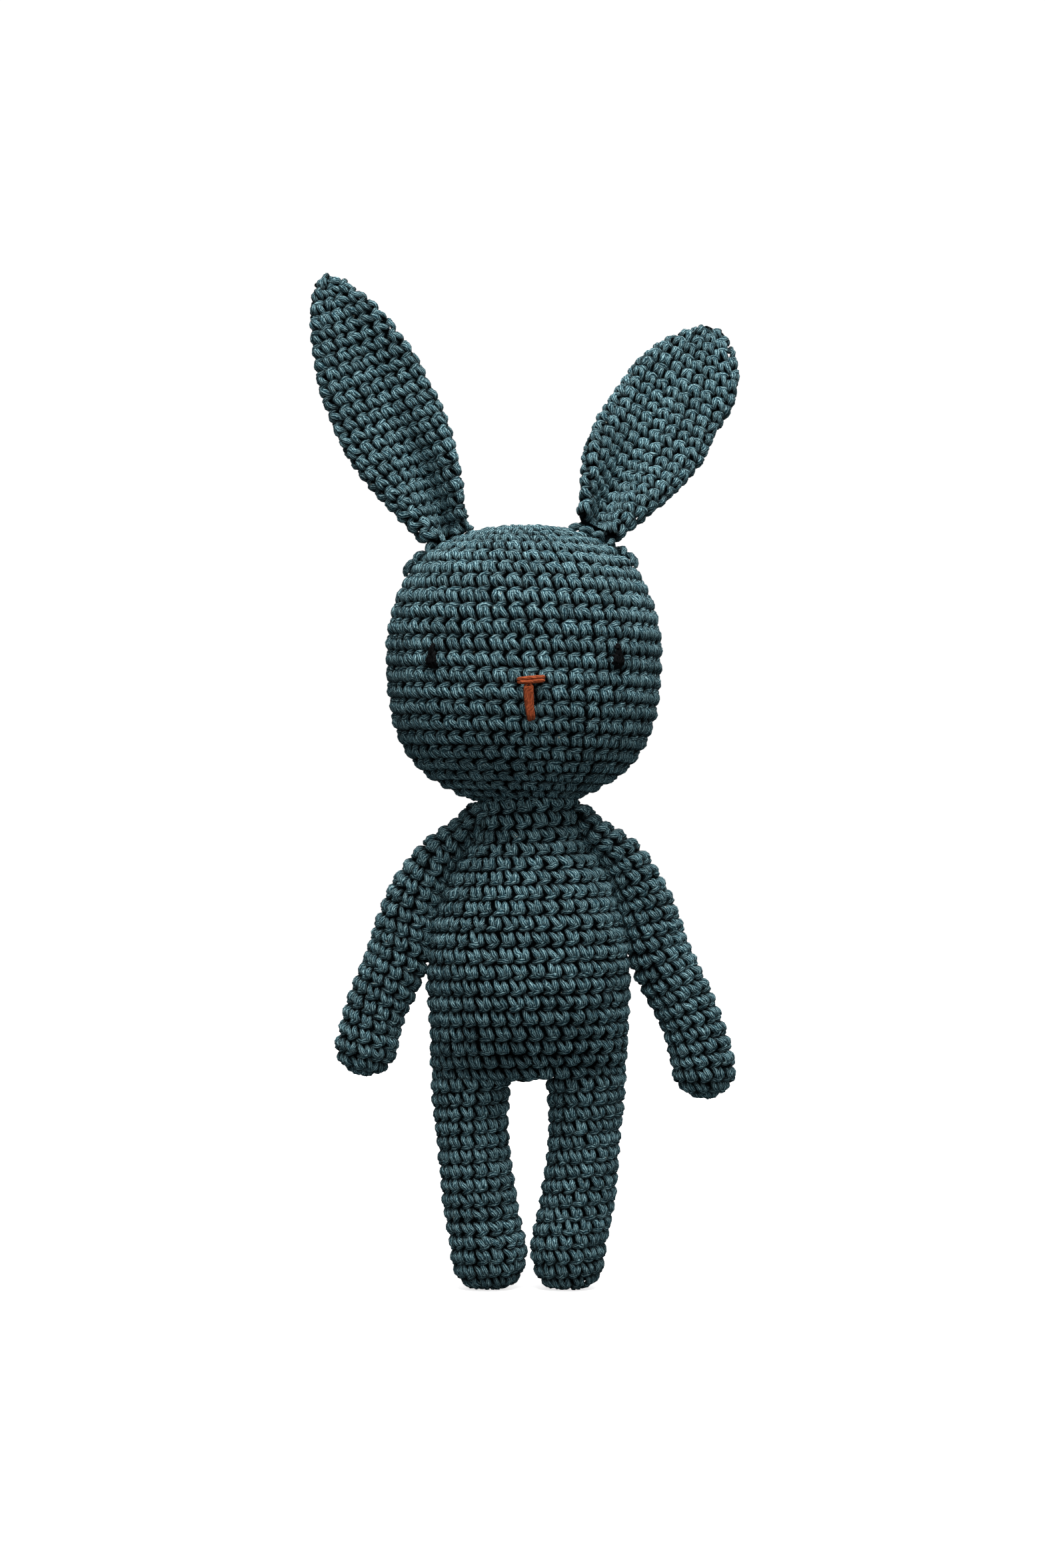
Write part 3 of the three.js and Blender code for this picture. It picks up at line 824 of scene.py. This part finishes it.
def ear_frame(side):
    """Base point, hinge direction, upward direction and backward direction of an ear, in mm."""
    ear = EARS[side]
    lean, back = math.radians(ear["lean"]) * side, math.radians(ear["back"])
    x = HEAD_X + side * ear["out"]
    hinge = np.array([math.cos(lean), 0, -math.sin(lean)])
    normal = np.array([math.sin(lean), 0, math.cos(lean)])
    base = np.array([x, 0, head_top(x)]) + normal * (EAR_ROOT + 0.6)
    upward = normal * math.cos(back) + np.array([0, math.sin(back), 0])
    return base, hinge, upward, np.cross(upward, hinge)


def ear_skin(side):
    """From the tip down to the pinched base; the flat pocket folds forward at its base."""
    s = sizes()
    ear = EARS[side]
    base, hinge, upward, backward = ear_frame(side)
    rings = []
    for along, wide, thick in smooth_rows(EAR_OUTLINE, 120)[::-1]:
        blunt = ear["blunt"] * smoothstep(along, 0.55, 0.85) if wide < 0.97 else 0
        half = wide * (1 + blunt) * s.ear_half_width / MM * ear["width"]
        across, deep = stadium(half, max(thick, 0.3), RING)
        fold = EAR_FOLD * smoothstep(0.55 - along, 0, 0.5) + 1.2
        cup = fold * np.exp(-(((across + side * 0.15 * half) / (0.3 * half + 1)) ** 2)) - 0.5 * fold
        sway = (ear["sway"] * smoothstep(along, 0.35, 0.95) - 1.1 * smoothstep(0.5 - along, 0, 0.45)) * side
        centre = base + upward * along * ear["length"] + hinge * sway
        rings.append(centre + across[:, None] * hinge + (deep + cup)[:, None] * backward)
    return Skin(np.array(rings) * MM, 0.9 * MM, 0.2 * MM)


# ---- Operators ----


class RABBIT_OT_head(bpy.types.Operator):
    """Crochets the round head from the crown down to the neck"""

    bl_idname = "rabbit.head"
    bl_label = "Head"

    def execute(self, context):
        s = sizes()
        skin = head_skin()
        stitches = skin.stitches(s.stitch_width, s.round_height, multiple=6, swell=1.04)
        head = crochet("head_fabric", stitches, painted_shade_sheet_mesh("head lining", skin, s.painted_shade_sheet_depth), seed=1)
        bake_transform(head)
        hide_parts("head_cover", "head_stuffing")
        return {"FINISHED"}


def face_point(x, z):
    """A place on the front of the head, in metres, and its outward direction."""
    s = sizes()
    half_width, half_depth, half_height = s.head_width / 2, s.head_depth / 2, s.head_height / 2
    rise = abs(z * MM - s.neck_height - half_height) / half_height
    reach = (1 - rise**HEAD_SQUARENESS) ** (1 / HEAD_SQUARENESS)
    across = (x - HEAD_X) * MM / half_width
    y = -math.sqrt(max(reach**2 - across**2, 0)) * half_depth
    slope = np.array([(x - HEAD_X) * MM / half_width**2, y / half_depth**2, 0])
    return np.array([x * MM, y, z * MM]), unit(slope)


def yarn_over_face(points, lift, radius, sides=8, segments=14, taper=0.55):
    """A strand laid over the face through places given as x and z in mm."""
    line = []
    for x, z in points:
        place, outward = face_point(x, z)
        line.append(place + outward * lift)
    line = [line[0] - outward * (lift + 1.2 * MM)] + line + [line[-1] - outward * (lift + 1.2 * MM)]
    return strand(np.array(line), radius, sides, segments, taper)


def face_piece(name, parts, material, replaced):
    thing = new_object(name, strands_mesh(name, parts))
    thing.data.materials.append(material)
    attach(thing, "head")
    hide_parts(replaced)


class RABBIT_OT_face(bpy.types.Operator):
    """Embroiders the two black eyes and the rust-coloured T of the nose"""

    bl_idname = "rabbit.face"
    bl_label = "Face"

    def execute(self, context):
        for name, (x, lean) in EYES.items():
            parts = []
            for offset, low, high in EYE_STRANDS:
                bottom = (x + offset, EYE_HEIGHT + low)
                middle = (x + offset * 0.9, EYE_HEIGHT + (low + high) / 2)
                top = (x + offset * 0.45 + lean, EYE_HEIGHT + high)
                parts.append(yarn_over_face([bottom, middle, top], 0.7 * MM, 0.66 * MM))
            face_piece(name + "_embroidery", parts, eye_yarn(), name)
        bar = [yarn_over_face(path, lift * MM, 0.62 * MM, taper=0.8) for path, lift in NOSE_BAR]
        face_piece("nose_bar_embroidery", bar, nose_yarn(), "nose_bar")
        stem = [yarn_over_face(path, lift * MM, 0.86 * MM, taper=0.8) for path, lift in NOSE_STEM]
        face_piece("nose_stem_embroidery", stem, nose_yarn(), "nose_stem")
        return {"FINISHED"}


class RABBIT_OT_body(bpy.types.Operator):
    """Crochets the egg-shaped body from the hips up to the neck"""

    bl_idname = "rabbit.body"
    bl_label = "Body"

    def execute(self, context):
        s = sizes()
        skin = body_skin()
        stitches = skin.stitches(s.stitch_width, s.round_height, keep=lambda place: place[2] >= PELVIS * MM)
        body = crochet("body_fabric", stitches, painted_shade_sheet_mesh("body lining", skin, s.painted_shade_sheet_depth * 1.3), seed=2)
        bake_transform(body)
        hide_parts("body_cover", "body_stuffing")
        return {"FINISHED"}


class RABBIT_OT_legs(bpy.types.Operator):
    """Crochets both legs with the lowest rounds of the body above each, in the same piece"""

    bl_idname = "rabbit.legs"
    bl_label = "Legs"

    def execute(self, context):
        s = sizes()
        body = body_skin()
        for name, side in (("left", LEFT), ("right", RIGHT)):
            skin = leg_skin(side)
            stitches = skin.stitches(s.stitch_width * LEG_STITCH, s.round_height * LEG_STITCH, end=0.9, swell=1.06)
            stitches += body.stitches(
                s.stitch_width,
                s.round_height,
                keep=lambda place: place[2] < PELVIS * MM and side * (place[0] - BODY_X * MM) >= 0,
            )
            stitches += crotch_stitches(side)
            painted_shade_sheet = painted_shade_sheet_mesh(f"leg {name} lining", skin, s.painted_shade_sheet_depth)
            leg = crochet(f"leg_{name}_fabric", stitches, painted_shade_sheet, seed=3 + side)
            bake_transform(leg)
            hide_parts(f"leg_{name}_cover", f"leg_{name}_stuffing")
        return {"FINISHED"}


def crotch_stitches(side):
    """The few stitches that bridge the two legs, facing down."""
    s = sizes()
    found = []
    for y in (-9.2, -4.6, 0, 4.6, 9.2):
        place = np.array([BODY_X + side * 2.2, y, s.crotch_height / MM + 2]) * MM
        found.append((place, np.array([float(side), 0, 0]), np.array([0.0, 0, -1]), 1.0, 1.0, 0.0))
    return found


class RABBIT_OT_arms(bpy.types.Operator):
    """Crochets both arms from the hand up to the flat end that is sewn beside the neck"""

    bl_idname = "rabbit.arms"
    bl_label = "Arms"

    def execute(self, context):
        s = sizes()
        for name, side in (("left", LEFT), ("right", RIGHT)):
            skin = arm_skin(side)
            stitches = skin.stitches(s.stitch_width * ARM_STITCH, s.round_height * ARM_STITCH, swell=1.06)
            painted_shade_sheet = painted_shade_sheet_mesh(f"arm {name} lining", skin, s.painted_shade_sheet_depth)
            arm = crochet(f"arm_{name}_fabric", stitches, painted_shade_sheet, seed=7 + side, relief=0.95)
            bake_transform(arm)
            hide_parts(f"arm_{name}_cover", f"arm_{name}_stuffing")
        return {"FINISHED"}


class RABBIT_OT_ears(bpy.types.Operator):
    """Crochets both flat ears from the tip down to the pinched base"""

    bl_idname = "rabbit.ears"
    bl_label = "Ears"

    def execute(self, context):
        s = sizes()
        for name, side in (("left", LEFT), ("right", RIGHT)):
            skin = ear_skin(side)
            width, height = s.stitch_width * EAR_STITCH, s.round_height * EAR_STITCH
            stitches = skin.stitches(width, height, multiple=1, swell=1.07)
            painted_shade_sheet = painted_shade_sheet_mesh(f"ear {name} lining", skin, s.painted_shade_sheet_depth)
            ear = crochet(f"ear_{name}_fabric", stitches, painted_shade_sheet, seed=12 + side, relief=0.75)
            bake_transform(ear)
            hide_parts(f"ear_{name}")
        return {"FINISHED"}


def whip_stitch(place, along, outward, radius, reach):
    """One slanted stitch of seam yarn over a join."""
    across = np.cross(along, outward)
    line = []
    for share, lift in ((-1, -0.5), (-0.4, 0.8), (0.4, 0.8), (1, -0.5)):
        line.append(place + (along * share + across * share * 0.45) * reach + outward * lift * MM)
    return strand(np.array(line), radius)


def add_mesh(thing, mesh, material):
    """Joins a mesh into a piece, with its own material."""
    mesh.materials.append(material)
    other = new_object(mesh.name, mesh)
    with bpy.context.temp_override(active_object=thing, selected_editable_objects=[thing, other]):
        bpy.ops.object.join()


def seam_piece(name, parts, body, replaced):
    thing = new_object(name, strands_mesh(name, parts))
    thing.data.materials.append(grey_yarn())
    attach(thing, body)
    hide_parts(replaced)
    return thing


class RABBIT_OT_seams(bpy.types.Operator):
    """Whips the head, arms and ears on with yarn"""

    bl_idname = "rabbit.seams"
    bl_label = "Seams"

    def execute(self, context):
        s = sizes()
        radius = s.yarn_radius * 0.95
        around = []
        for angle in np.linspace(0, 2 * math.pi, 22, endpoint=False):
            outward = np.array([math.cos(angle), math.sin(angle), 0.0])
            place = np.array([NECK_X * MM, 0, s.neck_height]) + outward * (s.neck_radius - 1.2 * MM)
            around.append(whip_stitch(place, np.array([0, 0, 1.0]), outward, radius, 1.8 * MM))
        neck = seam_piece("neck_seam_yarn", around, "neck", "neck_seam")
        # the core within the neck seam is painted shade, a near-black flat ball, as heights from the seam and radii
        ball = ((-7, 9), (-6, 12), (-3, 14), (0, 14.6), (3, 14), (6, 12), (7, 9))
        core = [(s.neck_height / MM + height, reach, reach) for height, reach in ball]
        skin = Skin(level_rings(core, NECK_X, 2), 0, 0)
        add_mesh(neck, painted_shade_sheet_mesh("neck core", skin, 0, rows=7), painted_shade_material())
        for name, side in (("left", LEFT), ("right", RIGHT)):
            parts = []
            for angle in np.radians([-32, -16, 0, 16, 32]):
                outward = unit(np.array([side * math.cos(angle), math.sin(angle), 0.9]))
                flat = np.array([side * math.cos(angle), math.sin(angle), 0.0])
                place = np.array([NECK_X * MM, 0, s.neck_height - 4.6 * MM]) + flat * ARM_SEAM_REACH * MM
                along = unit(np.cross(outward, np.cross((0.0, 0, 1), outward)))
                parts.append(whip_stitch(place, along, outward, radius, 2 * MM))
            seam_piece(f"arm_{name}_seam_yarn", parts, "torso", f"arm_{name}_seam")
            parts = []
            base, hinge, _, _ = ear_frame(side)
            half_width, half_depth, half_height = (v / 2 / MM for v in (s.head_width, s.head_depth, s.head_height))
            middle = s.neck_height / MM + half_height
            for angle in np.linspace(0, 2 * math.pi, 14, endpoint=False):
                spread = hinge * EAR_SEAM[0] * math.cos(angle) + np.array([0, 1, 0]) * EAR_SEAM[1] * math.sin(angle)
                spot = base + spread
                reach = math.hypot((spot[0] - HEAD_X) / half_width, spot[1] / half_depth)
                spot[2] = middle + (1 - reach**HEAD_SQUARENESS) ** (1 / HEAD_SQUARENESS) * half_height + 0.9
                outward = unit(spot - np.array([HEAD_X, 0, middle]))
                along = unit(np.cross(outward, np.cross(-spread, outward)))
                parts.append(whip_stitch(spot * MM, along, outward, radius, 2.2 * MM))
            seam_piece(f"ear_{name}_seam_yarn", parts, "head", f"ear_{name}_seam")
        return {"FINISHED"}


class RABBIT_OT_stage(bpy.types.Operator):
    """Sets the pale floor, the soft lights and the camera"""

    bl_idname = "rabbit.stage"
    bl_label = "Stage"

    def execute(self, context):
        scene = context.scene
        corners = [(-6, -6, 0), (6, -6, 0), (6, 6, 0), (-6, 6, 0)]
        floor = new_object("floor", mesh_from("floor", corners, [(0, 1, 2, 3)]))
        floor.data.materials.append(self.floor_material())
        for name, settings in LIGHTS.items():
            self.light(name, *settings)
        self.world(scene)
        scene.view_settings.view_transform = "Standard"
        self.camera(scene)
        return {"FINISHED"}

    def light(self, name, place, target, size, power):
        lamp = bpy.data.lights.new(name, "AREA")
        lamp.shape, lamp.size, lamp.energy = "DISK", size, power
        thing = new_object(name, lamp)
        thing.location = place
        thing.rotation_euler = (Vector(target) - Vector(place)).to_track_quat("-Z", "Y").to_euler()

    def floor_material(self):
        """Plain white paper, evenly bright to the camera, that throws little light back up."""
        material, tree = new_material("pale floor")
        seen = node(tree, "ShaderNodeLightPath").outputs["Is Camera Ray"]
        paper = node(tree, "ShaderNodeBsdfDiffuse", None, {"Color": colours().floor}).outputs[0]
        dim = node(tree, "ShaderNodeBsdfDiffuse", None, {"Color": linear("#505456")}).outputs[0]
        glow = node(tree, "ShaderNodeEmission", None, {"Strength": 0.72}).outputs[0]
        bright = node(tree, "ShaderNodeAddShader", None, {0: paper, 1: glow}).outputs[0]
        finish_material(tree, node(tree, "ShaderNodeMixShader", None, {0: seen, 1: dim, 2: bright}).outputs[0])
        return material

    def world(self, scene):
        """White to the camera; its light comes mostly from above."""
        world = bpy.data.worlds.new("white studio")
        world.use_nodes = True
        tree = world.node_tree
        tree.nodes.clear()
        seen = node(tree, "ShaderNodeLightPath").outputs["Is Camera Ray"]
        way = node(tree, "ShaderNodeTexCoord").outputs["Generated"]
        height = node(tree, "ShaderNodeSeparateXYZ", None, {0: way}).outputs[2]
        light = node(tree, "ShaderNodeMapRange", None, {0: height, 1: -0.2, 2: 1.0, 3: 0.03, 4: 0.42}).outputs[0]
        dim = node(tree, "ShaderNodeBackground", None, {"Color": (1, 1, 1, 1), "Strength": light}).outputs[0]
        white = node(tree, "ShaderNodeBackground", None, {"Color": (1, 1, 1, 1), "Strength": 1.05}).outputs[0]
        mixed = node(tree, "ShaderNodeMixShader", None, {0: seen, 1: dim, 2: white}).outputs[0]
        node(tree, "ShaderNodeOutputWorld", None, {"Surface": mixed})
        scene.world = world

    def camera(self, scene):
        """Level, straight in front, from far enough away that the doll looks almost flat."""
        lens, sensor, frame_height = 100, 36, 0.4704
        camera = bpy.data.cameras.new("camera")
        camera.lens, camera.sensor_width = lens, sensor
        thing = new_object("camera", camera)
        thing.location = (0.0002, -lens * frame_height / sensor, 0.1514)
        thing.rotation_euler = (math.pi / 2, 0, 0)
        scene.camera = thing


class RABBIT_PT_panel(bpy.types.Panel):
    bl_label = "Crocheted Rabbit"
    bl_idname = "RABBIT_PT_panel"
    bl_space_type = "VIEW_3D"
    bl_region_type = "UI"
    bl_category = "Rabbit"

    def draw(self, context):
        for group in (context.scene.rabbit_sizes, context.scene.rabbit_colours):
            box = self.layout.box()
            for name in group.__annotations__:
                box.prop(group, name)
        for operator in OPERATORS:
            self.layout.operator(operator.bl_idname)


OPERATORS = (
    RABBIT_OT_head,
    RABBIT_OT_face,
    RABBIT_OT_body,
    RABBIT_OT_legs,
    RABBIT_OT_arms,
    RABBIT_OT_ears,
    RABBIT_OT_seams,
    RABBIT_OT_stage,
)
CLASSES = (RabbitSizes, RabbitColours) + OPERATORS + (RABBIT_PT_panel,)


def register():
    for item in CLASSES:
        bpy.utils.register_class(item)
    bpy.types.Scene.rabbit_sizes = PointerProperty(type=RabbitSizes)
    bpy.types.Scene.rabbit_colours = PointerProperty(type=RabbitColours)


def unregister():
    del bpy.types.Scene.rabbit_sizes
    del bpy.types.Scene.rabbit_colours
    for item in reversed(CLASSES):
        bpy.utils.unregister_class(item)


def main():
    register()
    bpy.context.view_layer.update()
    for operator in OPERATORS:
        group, name = operator.bl_idname.split(".")
        getattr(getattr(bpy.ops, group), name)()
    shapes = stitch_shapes()
    for item in list(shapes.objects):
        bpy.data.objects.remove(item)
    bpy.data.collections.remove(shapes)


if __name__ == "__main__":
    main()
